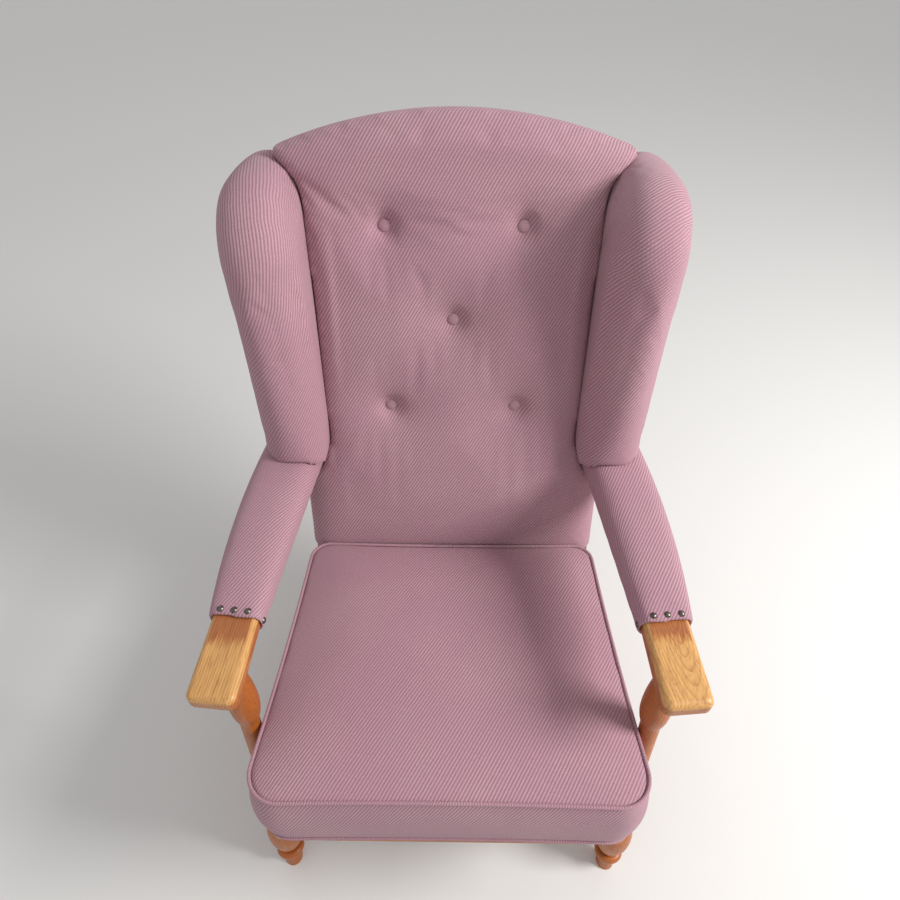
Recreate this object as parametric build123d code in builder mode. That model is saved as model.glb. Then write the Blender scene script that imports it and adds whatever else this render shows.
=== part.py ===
from build123d import *
import os
from math import asin, atan2, cos, hypot, radians, sin, sqrt, tan

os.makedirs("parts", exist_ok=True)

# Wingback chair: front is -Y, up is +Z, the floor is Z 0, and right is +X. Millimetres and degrees.

# Loose seat cushion
seat_height = 430.0
seat_front = -349.8
seat_slope = 5.6
cushion_front_width = 514.0
cushion_taper = 52.0
cushion_back_width = cushion_front_width - cushion_taper
cushion_depth = 414.0
cushion_thickness = 122.0
cushion_crown = 16.0
cushion_bulge = 7.0
cushion_draw = 4.0
cushion_front_corner = 42.0
cushion_back_corner = 30.0
cushion_shoulder = 40.0
cushion_plateau = 115.0
cushion_brow = 0.65
cover_skin = 2.0
cover_gap = 0.4
piping_radius = 2.4
piping_stand = 3.2

# Seat frame
rail_height = 56.0
rail_thickness = 24.0
rail_overhang = 3.5
front_rail_set = 16.0
strap_count = 5
strap_width = 50.0
strap_thickness = 3.0
strap_margin = 134.0
strap_spacing = (cushion_back_width - strap_margin) / (strap_count - 1)
deck_gap = 0.3
groove_width = 6.0
groove_depth = 15.0
groove_set = 9.0
clip_wall = 1.0
clip_height = 9.0
block_leg = 40.0
block_height = 34.0
block_drop = 9.0
rail_corner = 20.0
rail_rear_stand = 6.0

# Front legs
leg_stand_off = 13.0
leg_half_spacing = cushion_front_width / 2 + leg_stand_off
leg_foot_back = 28.0
leg_rake = 10.0
leg_foot_radius = 15.0
leg_ring_radius = 23.0
leg_bulb_radius = 27.0
leg_waist_radius = 13.5
leg_block_radius = 23.0
leg_swell_radius = 20.0
leg_neck_radius = 12.5
leg_tenon_radius = 9.0
leg_tenon_length = 16.0
leg_bolt_radius = 4.0
leg_bolt_head_radius = 7.5
leg_bolt_head = 4.0
leg_bolt_reach = 18.0
leg_bolt_bore = 6.0
leg_bolt_spacing = 26.0
leg_ring_height = 44.0
leg_ring_half = 7.0
leg_bulb_height = 92.0
leg_bulb_top = 168.0
leg_block_drop = 12.0
leg_block_rise = -6.0
leg_cove = 9.0
leg_collar = 10.0
leg_swell_length = 108.0
leg_swell_height = 36.0
leg_overrun = 15.0

# Arms
arm_height = 562.0
arm_front_back = 71.0
arm_outset = 12.0
arm_half_spacing = leg_half_spacing + arm_outset
arm_slope = 0.6
arm_thickness = 26.0
arm_front_width = 62.0
arm_core_width = 60.0
arm_bow = 5.0
arm_paddle_length = 108.0
arm_corner = 11.0
arm_top_round = 9.0
arm_edge_round = 6.0
arm_pad_front_width = 70.0
arm_pad_middle_width = 90.0
arm_pad_rear_width = 84.0
arm_pad_front_cover = 8.0
arm_pad_middle_cover = 14.0
arm_pad_rear_cover = 15.0
arm_pad_front_corner = 15.0
arm_pad_corner = 22.0
arm_pad_bow = 12.0
arm_pad_cap = 8.0
nail_radius = 4.7
nail_dome = 3.2
nail_shank_radius = 1.0
nail_shank = 16.0
nail_spacing = 18.0
nail_set_back = 8.0
nail_sink = 0.6
arm_pad_swell = 0.35
arm_dowel_spacing = 16.0
arm_dowel_inset = 12.0

# Back
crease_gap = 5.0
back_recline = 19.0
back_height = 663.0
back_shoulder = 614.0
back_side_lap = 9.0
back_flare = 7.0
back_bottom_half = cushion_back_width / 2 + back_side_lap
back_shoulder_half = back_bottom_half + back_flare
back_bottom = -30.0
back_corner = 22.0
back_side_wall = 31.0
back_crown = 26.0
pad_shoulder = 12.0
pad_brow = 45.0
pad_plateau = 105.0
crown_shoulder = 0.5
crown_brow = 0.85
frame_setback = 55.0
post_depth = 30.0
post_tuck = 27.0
post_width = 40.0
post_inner = cushion_back_width / 2 - post_tuck
arm_rear_set = 35.0
arm_rear_half_spacing = post_inner + arm_rear_set
post_top = 560.0
post_knee = 45.0
post_heel = 120.0
knee_drop = 4.0
rear_foot_back = 482.0
rear_foot_depth = 30.0
crest_cover = 12.0
lower_rail_height = 50.0
lower_rail_bottom = -20.0
lower_rail_thickness = 24.0
webbing_width = 50.0
webbing_thickness = 1.5
webbing_heights = (95.0, 320.0, 455.0)
webbing_count = 4
webbing_margin = 116.0
webbing_spacing = (2 * post_inner - webbing_margin) / (webbing_count - 1)
webbing_lap = 22.0
hessian_thickness = 1.0
hessian_margin = 20.0
hessian_width = 2 * (post_inner - hessian_margin)
back_cover_thickness = 2.5
back_cover_bottom = -95.0
panel_step = 14.0

# Buttons
button_half_spacing = 95.0
button_top = 520.0
button_middle = 390.0
button_bottom = 254.0
button_radius = 9.5
button_edge = 3.0
button_dome = 3.5
tuft_depth = 16.0
tuft_reach = 56.0
tuft_turn = 0.42
tuft_rise = 0.15
tie_radius = 1.0
tie_hole_gap = 0.5
tie_washer_radius = 9.0
tie_washer = 1.5

# Wings
wing_tuck = 7.0
wing_outset = 46.0
wing_inner = post_inner - wing_tuck
wing_outer = post_inner + post_width + wing_outset
wing_reach = 104.0
wing_foot_reach = 46.0
wing_widest = 478.0
wing_top = 611.0
wing_shoulder = 34.0
wing_shoulder_drop = 18.0
wing_hollow = 4.0
wing_sink = 32.9
wing_pivot = 250.0
wing_lean = 1.8
wing_round = 42.0
wing_roll = 34.0
wing_board_thickness = 16.0
wing_cover_inset = 2.0
wing_cover_round = 4.0
board_lift = 2.0

# Clearances and fasteners
fit_gap = 0.3
soft_gap = 0.4
dowel_radius = 5.0
dowel_half = 18.0
dowel_gap = 0.1
dowel_spacing = 22.0
rail_dowel_spacing = 14.0
post_bolt_radius = 4.0
post_bolt_head_radius = 9.0
post_bolt_head = 4.0
post_bolt_spacing = 42.0
post_bolt_set_in = 10.0
post_bolt_grip = 36.0
post_bolt_reach = 18.0
post_bolt_bore = 60.0

# Frames that the pieces are drawn in. On the seat plane local Y runs back along the deck
# and Z stands on it. On the back plane local Y runs up the back and Z points forward out of it.
slope = radians(seat_slope)
recline = radians(back_recline)
rake = radians(leg_rake)
across = Vector(1, 0, 0)
deck_y = seat_front - cushion_thickness * sin(slope)
deck_z = seat_height - cushion_thickness * cos(slope)
seat_plane = Plane((0, deck_y, deck_z), x_dir=across, z_dir=(0, sin(slope), cos(slope)))
crease = cushion_depth + crease_gap
back_y = seat_front + crease * cos(slope)
back_z = seat_height - crease * sin(slope)
back_plane = Plane((0, back_y, back_z), x_dir=across, z_dir=(0, -cos(recline), sin(recline)))

# Layers of the seat frame and of the back, as heights over those planes
rail_top = -deck_gap - strap_thickness
rail_middle = rail_top - rail_height / 2
post_front = -frame_setback
post_rear = post_front - post_depth
webbing_front = post_front + webbing_thickness
hessian_rear = webbing_front + webbing_thickness
pad_rear = hessian_rear + hessian_thickness
pad_edge = pad_rear + back_side_wall
pad_front = pad_edge + back_crown
post_outer = post_inner + post_width
rail_back = cushion_depth + rail_rear_stand
rail_taper = (cushion_front_width - cushion_back_width) / 2 / cushion_depth
wing_bottom = (arm_height - back_z) / cos(recline) - wing_sink

# The arm runs from its front end to the post's front face
arm_front_y = seat_front + arm_front_back
arm_rear_y = back_y + (arm_height - back_z) * tan(recline) + frame_setback / cos(recline)
arm_flare = atan2(arm_half_spacing - arm_rear_half_spacing, arm_rear_y - arm_front_y)
arm_dip = radians(arm_slope)
arm_along = Vector(-sin(arm_flare) * cos(arm_dip), cos(arm_flare) * cos(arm_dip), -sin(arm_dip))
arm_up = Vector(-sin(arm_flare) * sin(arm_dip), cos(arm_flare) * sin(arm_dip), cos(arm_dip))
arm_plane = Plane((arm_half_spacing, arm_front_y, arm_height), x_dir=arm_along, z_dir=arm_up)
arm_length = hypot(arm_rear_y - arm_front_y, arm_half_spacing - arm_rear_half_spacing)
arm_end = arm_length + frame_setback

# The front leg stands on the floor and runs up its raked axis to the arm's underside
leg_foot = Vector(leg_half_spacing, seat_front + leg_foot_back, 0)
leg_axis = Vector(0, sin(rake), cos(rake))
leg_plane = Plane(leg_foot, x_dir=across, z_dir=(0, -cos(rake), sin(rake)))
arm_underside = arm_plane.offset(-arm_thickness)
leg_top = (arm_underside.origin - leg_foot).dot(arm_up) / leg_axis.dot(arm_up)
seat_over_foot = (seat_plane.origin - leg_foot).dot(seat_plane.z_dir)
leg_joint = (rail_middle + seat_over_foot) / leg_axis.dot(seat_plane.z_dir)
leg_station = seat_plane.to_local_coords(leg_foot + leg_axis * leg_joint).Y


def save(piece, name):
    """Label a finished piece and write its file."""
    piece.label = name
    export_step(piece, f"parts/{name}.step")


def save_pair(piece, name):
    """Write a right-hand piece and its left-hand mirror image."""
    save(piece, f"{name}_right")
    with BuildPart() as other:
        mirror(piece, about=Plane.YZ)
    save(other.part, f"{name}_left")


def seat_point(along, height):
    """Y and Z of a point on the seat plane's middle line."""
    point = seat_plane.from_local_coords(Vector(0, along, height))
    return point.Y, point.Z


def back_point(up, forward):
    """Y and Z of a point on the back plane's middle line."""
    point = back_plane.from_local_coords(Vector(0, up, forward))
    return point.Y, point.Z


def side_plane(x):
    """Plane across the chair at x: local X points forward out of the back, local Y up the back."""
    return Plane((x, back_y, back_z), x_dir=back_plane.z_dir, z_dir=-across)


def rail_outer(along):
    """Half width over the seat rails at a distance back along the deck."""
    return cushion_front_width / 2 + rail_overhang - rail_taper * along


def dome_middle(radius, height):
    """A point halfway along the arc of a round dome, from its rim to its top."""
    sphere = (radius**2 + height**2) / (2 * height)
    half = asin(radius / sphere) / 2
    return sphere * sin(half), height - sphere * (1 - cos(half))


def arch(x, lower):
    """Height of the back's arched top at x, lowered by a cover's thickness."""
    rise = back_height - back_shoulder
    radius = (back_shoulder_half**2 + rise**2) / (2 * rise)
    return back_height - radius + sqrt(radius**2 - x**2) - lower


# Seat cushion: piped border, crowned top, flat underside

def cushion_outline(height, inset):
    """Plan of the cushion at a height, with sides drawn in between its rounded corners."""
    front_half = cushion_front_width / 2 - inset
    back_half = cushion_back_width / 2 - inset
    back_edge = cushion_depth - inset
    middle_half = (front_half + back_half) / 2 - cushion_draw
    with BuildSketch(seat_plane.offset(height)) as plan:
        with BuildLine():
            ThreePointArc((-front_half, inset), (0, inset + cushion_draw), (front_half, inset))
            ThreePointArc((front_half, inset), (middle_half, cushion_depth / 2), (back_half, back_edge))
            ThreePointArc((back_half, back_edge), (0, back_edge - cushion_draw), (-back_half, back_edge))
            ThreePointArc((-back_half, back_edge), (-middle_half, cushion_depth / 2), (-front_half, inset))
        make_face()
        fillet(plan.vertices().group_by(Axis.Y)[0], cushion_front_corner)
        fillet(plan.vertices().group_by(Axis.Y)[-1], cushion_back_corner)
    return plan.sketch


def cushion_body(skin):
    """The cushion's closed form, drawn in all round by a skin."""
    seam_top = cushion_thickness - skin
    border = [
        cushion_outline(skin, skin),
        cushion_outline(cushion_thickness / 2, skin - cushion_bulge),
        cushion_outline(seam_top, skin),
    ]
    crown = [
        cushion_outline(seam_top, skin),
        cushion_outline(seam_top + cushion_crown * cushion_brow, skin + cushion_shoulder),
        cushion_outline(seam_top + cushion_crown, skin + cushion_plateau),
    ]
    with BuildPart() as body:
        loft(border)
        loft(crown)
    return body.part


def piping_loops():
    """Cords along the cushion's top and bottom seams."""
    with BuildPart() as loops:
        for seam in (piping_radius, cushion_thickness):
            path = cushion_outline(seam, -piping_stand).face().outer_wire()
            with BuildSketch(Plane(path @ 0, z_dir=path % 0)):
                Circle(piping_radius)
            sweep(path=path)
    return loops.part


# Fasteners of the right-hand side. A gap of zero gives the fasteners, a positive one their holes.

def leg_bolt_set(gap=0, bore=0):
    """Bolts through the side rail into the front leg, with their heads sunk in the rail's inner face."""
    head_seat = rail_outer(leg_station) - rail_thickness + leg_bolt_head
    with BuildPart() as bolts:
        for step in (-0.5, 0.5):
            height = rail_middle + step * leg_bolt_spacing
            spot = seat_plane.from_local_coords(Vector(head_seat, leg_station, height))
            with BuildSketch(Plane(spot, z_dir=across)):
                Circle(leg_bolt_radius + gap)
            extrude(amount=rail_thickness + leg_bolt_reach + gap)
            with BuildSketch(Plane(spot, z_dir=-across)):
                Circle(leg_bolt_head_radius + gap)
            extrude(amount=leg_bolt_head + bore)
    return bolts.part


def post_bolt_set(gap=0, bore=0):
    """Bolts from the rear post's heel into the back rail, with their heads in counterbores."""
    bolt_x = post_inner + post_bolt_set_in
    head_seat = rail_back + post_bolt_grip
    with BuildPart() as bolts:
        for step in (-0.5, 0.5):
            height = rail_middle + step * post_bolt_spacing
            spot = seat_plane.from_local_coords(Vector(bolt_x, head_seat, height))
            with BuildSketch(Plane(spot, z_dir=-seat_plane.y_dir)):
                Circle(post_bolt_radius + gap)
            extrude(amount=post_bolt_grip + post_bolt_reach + gap)
            with BuildSketch(Plane(spot, z_dir=seat_plane.y_dir)):
                Circle(post_bolt_head_radius + gap)
            extrude(amount=post_bolt_head + bore)
    return bolts.part


def dowel_set(spots, direction, gap):
    """Dowels centred on spots and running along one direction."""
    with BuildPart() as dowels:
        for spot in spots:
            with BuildSketch(Plane(spot, z_dir=direction)):
                Circle(dowel_radius + gap)
            extrude(amount=dowel_half + gap, both=True)
    return dowels.part


rail_centre_front = rail_outer(front_rail_set + rail_thickness) - rail_thickness / 2
rail_centre_back = rail_outer(rail_back - rail_thickness) - rail_thickness / 2
front_joint = front_rail_set + rail_thickness
back_joint = rail_back - rail_thickness
rail_dowel_spots = [
    seat_plane.from_local_coords(Vector(x, along, rail_middle + step * rail_dowel_spacing))
    for x, along in ((rail_centre_front, front_joint), (rail_centre_back, back_joint))
    for step in (-0.5, 0.5)
]
post_middle = post_inner + post_width / 2
post_layer = post_rear + post_depth / 2
crest_dowel_spots = [
    back_plane.from_local_coords(Vector(post_middle + step * dowel_spacing, post_top, post_layer))
    for step in (-0.5, 0.5)
]
arm_joint = arm_plane.from_local_coords(Vector(arm_length, 0, -arm_thickness / 2))
arm_dowel_spots = [
    arm_joint + arm_plane.y_dir * (arm_dowel_inset + step * arm_dowel_spacing) for step in (-0.5, 0.5)
]


def rail_dowel_set(gap=0):
    return dowel_set(rail_dowel_spots, seat_plane.y_dir, gap)


def crest_dowel_set(gap=0):
    return dowel_set(crest_dowel_spots, back_plane.y_dir, gap)


def arm_dowel_set(gap=0):
    return dowel_set(arm_dowel_spots, arm_along, gap)


def save_set(maker, name):
    """Write a fastener set of both sides as one group."""
    with BuildPart() as group:
        add(maker())
        mirror(maker(), about=Plane.YZ)
    save(group.part, name)


# Seat rails

def rail_block(front, back, inner_width):
    """Plan of a rail between two distances along the deck: the whole width, or one side's width."""
    with BuildSketch(seat_plane.offset(rail_top)) as plan:
        with BuildLine():
            if inner_width:
                Polyline(
                    (rail_outer(front) - inner_width, front),
                    (rail_outer(front), front),
                    (rail_outer(back), back),
                    (rail_outer(back) - inner_width, back),
                    close=True,
                )
            else:
                Polyline(
                    (-rail_outer(front), front),
                    (rail_outer(front), front),
                    (rail_outer(back), back),
                    (-rail_outer(back), back),
                    close=True,
                )
        make_face()
    return plan.sketch


front_groove = front_rail_set + groove_set + groove_width / 2
back_groove = rail_back - groove_set - groove_width / 2
strap_run = back_groove - front_groove
strap_span = strap_spacing * (strap_count - 1) + strap_width + groove_width

with BuildPart() as front_rail:
    extrude(rail_block(front_rail_set, front_joint, 0), amount=-rail_height)
    front_face = front_rail.faces().sort_by(Axis.Y)[0]
    fillet(front_face.edges().sort_by(Axis.X)[:1] + front_face.edges().sort_by(Axis.X)[-1:], rail_corner)
    with BuildSketch(seat_plane.offset(rail_top)):
        with Locations((0, front_groove)):
            Rectangle(strap_span, groove_width)
    extrude(amount=-groove_depth, mode=Mode.SUBTRACT)
    add(rail_dowel_set(dowel_gap), mode=Mode.SUBTRACT)
    mirror(rail_dowel_set(dowel_gap), about=Plane.YZ, mode=Mode.SUBTRACT)
save(front_rail.part, "front_rail")

with BuildPart() as back_rail:
    extrude(rail_block(back_joint, rail_back, 0), amount=-rail_height)
    with BuildSketch(seat_plane.offset(rail_top)):
        with Locations((0, back_groove)):
            Rectangle(strap_span, groove_width)
    extrude(amount=-groove_depth, mode=Mode.SUBTRACT)
    add(rail_dowel_set(dowel_gap), mode=Mode.SUBTRACT)
    mirror(rail_dowel_set(dowel_gap), about=Plane.YZ, mode=Mode.SUBTRACT)
    add(post_bolt_set(dowel_gap, post_bolt_bore), mode=Mode.SUBTRACT)
    mirror(post_bolt_set(dowel_gap, post_bolt_bore), about=Plane.YZ, mode=Mode.SUBTRACT)
save(back_rail.part, "back_rail")

with BuildPart() as side_rail:
    extrude(rail_block(front_joint, back_joint, rail_thickness), amount=-rail_height)
    add(rail_dowel_set(dowel_gap), mode=Mode.SUBTRACT)
    add(leg_bolt_set(dowel_gap, leg_bolt_bore), mode=Mode.SUBTRACT)
save_pair(side_rail.part, "side_rail")

with BuildPart() as corner_blocks:
    for corner, reach in ((front_joint, block_leg), (back_joint, -block_leg)):
        inner = rail_outer(corner) - rail_thickness
        inner_far = rail_outer(corner + reach) - rail_thickness
        with BuildSketch(seat_plane.offset(rail_top - block_drop)) as gusset:
            with BuildLine():
                Polyline(
                    (inner, corner),
                    (inner - block_leg, corner),
                    (inner_far, corner + reach),
                    close=True,
                )
            make_face()
            mirror(about=Plane.YZ)
        extrude(amount=-block_height)
save(corner_blocks.part, "corner_blocks")

with BuildPart() as seat_straps:
    with BuildSketch(seat_plane.offset(rail_top)):
        with Locations((0, (front_groove + back_groove) / 2)):
            with GridLocations(strap_spacing, 1, strap_count, 1):
                Rectangle(strap_width, strap_run + strap_thickness)
    extrude(amount=strap_thickness)
    with BuildSketch(seat_plane.offset(rail_top)):
        with Locations((0, front_groove), (0, back_groove)):
            with GridLocations(strap_spacing, 1, strap_count, 1):
                Rectangle(strap_width, strap_thickness)
    extrude(amount=-groove_depth + clip_wall + fit_gap)
save(seat_straps.part, "seat_straps")

with BuildPart() as strap_clips:
    with BuildSketch(seat_plane.offset(rail_top - groove_depth + fit_gap)):
        with Locations((0, front_groove), (0, back_groove)):
            with GridLocations(strap_spacing, 1, strap_count, 1):
                Rectangle(strap_width, strap_thickness + 2 * clip_wall)
    extrude(amount=clip_height)
    add(seat_straps.part, mode=Mode.SUBTRACT)
save(strap_clips.part, "strap_clips")

# Turned front legs

with BuildPart() as front_leg:
    block_low = leg_joint - rail_height / 2 - leg_block_drop
    block_high = leg_joint + rail_height / 2 + leg_block_rise
    swell_low = leg_top - leg_swell_length
    ring_low = leg_ring_height - leg_ring_half
    ring_high = leg_ring_height + leg_ring_half
    collar_low = leg_top - leg_collar
    with BuildSketch(leg_plane):
        with BuildLine():
            Polyline(
                (0, -leg_overrun),
                (leg_foot_radius, -leg_overrun),
                (leg_waist_radius, ring_low),
            )
            ThreePointArc(
                (leg_waist_radius, ring_low),
                (leg_ring_radius, leg_ring_height),
                (leg_waist_radius, ring_high),
            )
            ThreePointArc(
                (leg_waist_radius, ring_high),
                (leg_bulb_radius, leg_bulb_height),
                (leg_waist_radius, leg_bulb_top),
            )
            Polyline(
                (leg_waist_radius, leg_bulb_top),
                (leg_waist_radius, block_low - leg_cove),
                (leg_block_radius, block_low),
                (leg_block_radius, block_high),
                (leg_waist_radius, block_high + leg_cove),
                (leg_waist_radius, swell_low),
            )
            widest = (leg_swell_radius, swell_low + leg_swell_height)
            TangentArc(widest, (leg_waist_radius, swell_low), tangent=(0, -1))
            TangentArc(widest, (leg_neck_radius, collar_low), tangent=(0, 1))
            Polyline(
                (leg_neck_radius, collar_low),
                (leg_neck_radius, leg_top + leg_overrun),
                (0, leg_top + leg_overrun),
                (0, -leg_overrun),
            )
        make_face()
    revolve(axis=Axis(leg_foot, leg_axis))
    split(bisect_by=Plane.XY, keep=Keep.TOP)
    split(bisect_by=arm_underside, keep=Keep.BOTTOM)
    with BuildSketch(Plane(leg_foot + leg_axis * (leg_top - leg_collar), z_dir=leg_axis)):
        Circle(leg_tenon_radius)
    extrude(amount=leg_collar + leg_tenon_length)
    with BuildSketch(seat_plane.offset(rail_top + fit_gap)):
        with BuildLine():
            Polyline(
                (rail_outer(leg_station - block_leg), leg_station - block_leg),
                (rail_outer(leg_station + block_leg), leg_station + block_leg),
                (rail_outer(leg_station + block_leg) - rail_thickness, leg_station + block_leg),
                (rail_outer(leg_station - block_leg) - rail_thickness, leg_station - block_leg),
                close=True,
            )
        make_face()
    extrude(amount=-rail_height - 2 * fit_gap, mode=Mode.SUBTRACT)
    add(leg_bolt_set(dowel_gap, leg_bolt_bore), mode=Mode.SUBTRACT)
save_pair(front_leg.part, "front_leg")

# Rear posts: rear leg and back stile sawn in one piece

with BuildPart() as rear_post:
    rear_foot = seat_front + rear_foot_back
    with BuildSketch(Plane((post_inner, 0, 0), x_dir=(0, 1, 0), z_dir=across)) as profile:
        with BuildLine():
            Polyline(
                back_point(post_top, post_front),
                back_point(-post_knee, post_front),
                seat_point(rail_back, rail_top),
                seat_point(rail_back, rail_top - rail_height - knee_drop),
                (rear_foot, 0),
                (rear_foot + rear_foot_depth, 0),
                back_point(-post_heel, post_rear),
                back_point(post_top, post_rear),
                close=True,
            )
        make_face()
    extrude(amount=post_width)
    add(crest_dowel_set(dowel_gap), mode=Mode.SUBTRACT)
    add(arm_dowel_set(dowel_gap), mode=Mode.SUBTRACT)
    add(post_bolt_set(dowel_gap, post_bolt_bore), mode=Mode.SUBTRACT)
save_pair(rear_post.part, "rear_post")

# Arms: a core that the pad wraps, and a bare paddle in front

def arm_plan(grow):
    """The arm's plan, bowed away from the seat where the bare paddle ends, and grown at its sides."""
    front_half = arm_front_width / 2 + grow
    core_half = arm_core_width / 2 + grow
    with BuildSketch(arm_plane) as plan:
        with BuildLine():
            Polyline(
                (0, -front_half),
                (arm_paddle_length, -core_half - arm_bow),
                (arm_end, -core_half),
                (arm_end, core_half),
                (arm_paddle_length, core_half - arm_bow),
                (0, front_half),
                close=True,
            )
        make_face()
        fillet(plan.vertices().group_by(Axis.X)[0], arm_corner)
    return plan.sketch


with BuildPart() as arm:
    extrude(arm_plan(0), amount=-arm_thickness)
    fillet(arm.faces().sort_by(Axis.Z)[-1].edges(), arm_top_round)
    fillet(arm.faces().sort_by(Axis.Z)[0].edges(), arm_edge_round)
    split(bisect_by=back_plane.offset(post_front), keep=Keep.TOP)
    with BuildSketch(Plane(leg_foot + leg_axis * (leg_top - leg_collar), z_dir=leg_axis)):
        Circle(leg_tenon_radius + dowel_gap)
    extrude(amount=leg_collar + leg_tenon_length + fit_gap, mode=Mode.SUBTRACT)
    add(arm_dowel_set(dowel_gap), mode=Mode.SUBTRACT)


def arm_section(along, bow, width, cover, corner):
    """The padded arm's section at a distance back from its front end, bowed away from the seat."""
    middle = arm_plane.from_local_coords(Vector(along, -bow, -arm_thickness / 2))
    with BuildSketch(Plane(middle, x_dir=arm_plane.y_dir, z_dir=arm_along)) as section:
        RectangleRounded(width, arm_thickness + 2 * cover, corner)
    return section.sketch


def arm_pad_body(grow):
    """The padded arm's closed form, grown all round."""
    front = arm_paddle_length - grow
    middle = arm_paddle_length + (arm_end - arm_paddle_length) * arm_pad_swell
    sections = [
        arm_section(
            front, arm_bow, arm_pad_front_width + 2 * grow, arm_pad_front_cover + grow, arm_pad_front_corner
        ),
        arm_section(
            middle, arm_pad_bow, arm_pad_middle_width + 2 * grow, arm_pad_middle_cover + grow, arm_pad_corner
        ),
        arm_section(arm_end, 0, arm_pad_rear_width + 2 * grow, arm_pad_rear_cover + grow, arm_pad_corner),
    ]
    with BuildPart() as pad:
        loft(sections)
    return pad.part


def nail_set(gap=0):
    """Domed nails across the end of the right arm's cover, three on top and one at each side."""
    along = arm_paddle_length + nail_set_back
    top = arm_pad_front_cover - nail_sink
    side = arm_pad_front_width / 2 - nail_sink
    places = [(Vector(along, step * nail_spacing - arm_bow, top), arm_up) for step in (-1, 0, 1)]
    places += [
        (Vector(along, sign * side - arm_bow, -arm_thickness / 2), arm_plane.y_dir * sign) for sign in (-1, 1)
    ]
    with BuildPart() as nails:
        for place, out in places:
            seat = arm_plane.from_local_coords(place)
            turn = Plane(seat, x_dir=arm_along, z_dir=arm_along.cross(out))
            with BuildSketch(turn):
                with BuildLine():
                    Polyline(
                        (0, nail_dome + gap),
                        (0, -nail_shank - gap),
                        (nail_shank_radius + gap, -nail_shank - gap),
                        (nail_shank_radius + gap, -gap),
                        (nail_radius + gap, -gap),
                    )
                    brow, rise = dome_middle(nail_radius + gap, nail_dome + 2 * gap)
                    ThreePointArc((nail_radius + gap, -gap), (brow, rise - gap), (0, nail_dome + gap))
                make_face()
            revolve(axis=Axis(seat, out))
    return nails.part


with BuildPart() as drilled_arm:
    add(arm.part)
    add(nail_set(dowel_gap), mode=Mode.SUBTRACT)
save_pair(drilled_arm.part, "arm")

with BuildPart() as arm_room:
    extrude(arm_plan(fit_gap), amount=fit_gap)
    extrude(arm_plan(fit_gap), amount=-arm_thickness - fit_gap)
    split(bisect_by=back_plane.offset(post_front - fit_gap), keep=Keep.TOP)

# The pad closes over the end of the arm's core beside the post
with BuildPart() as arm_pad:
    add(arm_pad_body(0))
    split(bisect_by=back_plane.offset(post_front - arm_pad_cap), keep=Keep.TOP)
    with BuildSketch(back_plane.offset(post_front + fit_gap)):
        with Locations((post_outer + fit_gap, 0)):
            Rectangle(2 * post_outer, 2 * back_height, align=(Align.MAX, Align.CENTER))
    extrude(amount=-post_depth, mode=Mode.SUBTRACT)
    add(arm_room.part, mode=Mode.SUBTRACT)
    add(nail_set(dowel_gap), mode=Mode.SUBTRACT)
save_pair(arm_pad.part, "arm_pad")
save_pair(nail_set(), "arm_nails")

save_set(leg_bolt_set, "leg_bolts")
save_set(post_bolt_set, "post_bolts")
save_set(rail_dowel_set, "rail_dowels")
save_set(crest_dowel_set, "crest_dowels")
save_set(arm_dowel_set, "arm_dowels")

# Back frame

with BuildPart() as crest_rail:
    with BuildSketch(back_plane.offset(webbing_front)):
        with BuildLine():
            end = arch(post_outer, crest_cover)
            Polyline((-post_outer, end), (-post_outer, post_top), (post_outer, post_top), (post_outer, end))
            ThreePointArc((post_outer, end), (0, arch(0, crest_cover)), (-post_outer, end))
        make_face()
    extrude(amount=post_rear - webbing_front)
    add(crest_dowel_set(dowel_gap), mode=Mode.SUBTRACT)
    mirror(crest_dowel_set(dowel_gap), about=Plane.YZ, mode=Mode.SUBTRACT)
save(crest_rail.part, "crest_rail")

with BuildPart() as lower_back_rail:
    with BuildSketch(back_plane.offset(webbing_front)):
        with Locations((0, lower_rail_bottom + lower_rail_height / 2)):
            Rectangle(2 * post_inner, lower_rail_height)
    extrude(amount=-lower_rail_thickness)
save(lower_back_rail.part, "lower_back_rail")

with BuildPart() as cross_webbing:
    with BuildSketch(back_plane.offset(post_front)):
        with Locations(*[(0, up) for up in webbing_heights]):
            Rectangle(2 * post_outer, webbing_width)
    extrude(amount=webbing_thickness)
save(cross_webbing.part, "cross_webbing")

upright_bottom = lower_rail_bottom
upright_top = post_top + webbing_lap
with BuildPart() as upright_webbing:
    with BuildSketch(back_plane.offset(webbing_front)):
        with Locations((0, (upright_bottom + upright_top) / 2)):
            with GridLocations(webbing_spacing, 1, webbing_count, 1):
                Rectangle(webbing_width, upright_top - upright_bottom)
    extrude(amount=webbing_thickness)
save(upright_webbing.part, "upright_webbing")

button_spots = [(sign * button_half_spacing, up) for up in (button_top, button_bottom) for sign in (-1, 1)]
button_spots.append((0, button_middle))


def button_plane(spot):
    """Plane through a button's axis: local X across the chair, local Y forward out of the back."""
    origin = back_plane.from_local_coords(Vector(spot[0], spot[1], 0))
    return Plane(origin, x_dir=across, z_dir=-back_plane.y_dir)


with BuildPart() as back_hessian:
    with BuildSketch(back_plane.offset(hessian_rear)):
        with Locations((0, (upright_bottom + upright_top) / 2)):
            Rectangle(hessian_width, upright_top - upright_bottom)
        with Locations(*button_spots):
            Circle(tie_radius + tie_hole_gap, mode=Mode.SUBTRACT)
    extrude(amount=hessian_thickness)
save(back_hessian.part, "back_hessian")

# Wings: a padded roll round a board that is fixed to the outside of the rear post. The roll leans outwards.

wing_turn = radians(wing_lean)
wing_middle = (wing_inner + wing_outer) / 2
wing_axis = Axis(back_plane.from_local_coords(Vector(wing_middle, wing_pivot, 0)), back_plane.z_dir)
wing_outward = across * cos(wing_turn) - back_plane.y_dir * sin(wing_turn)


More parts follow.
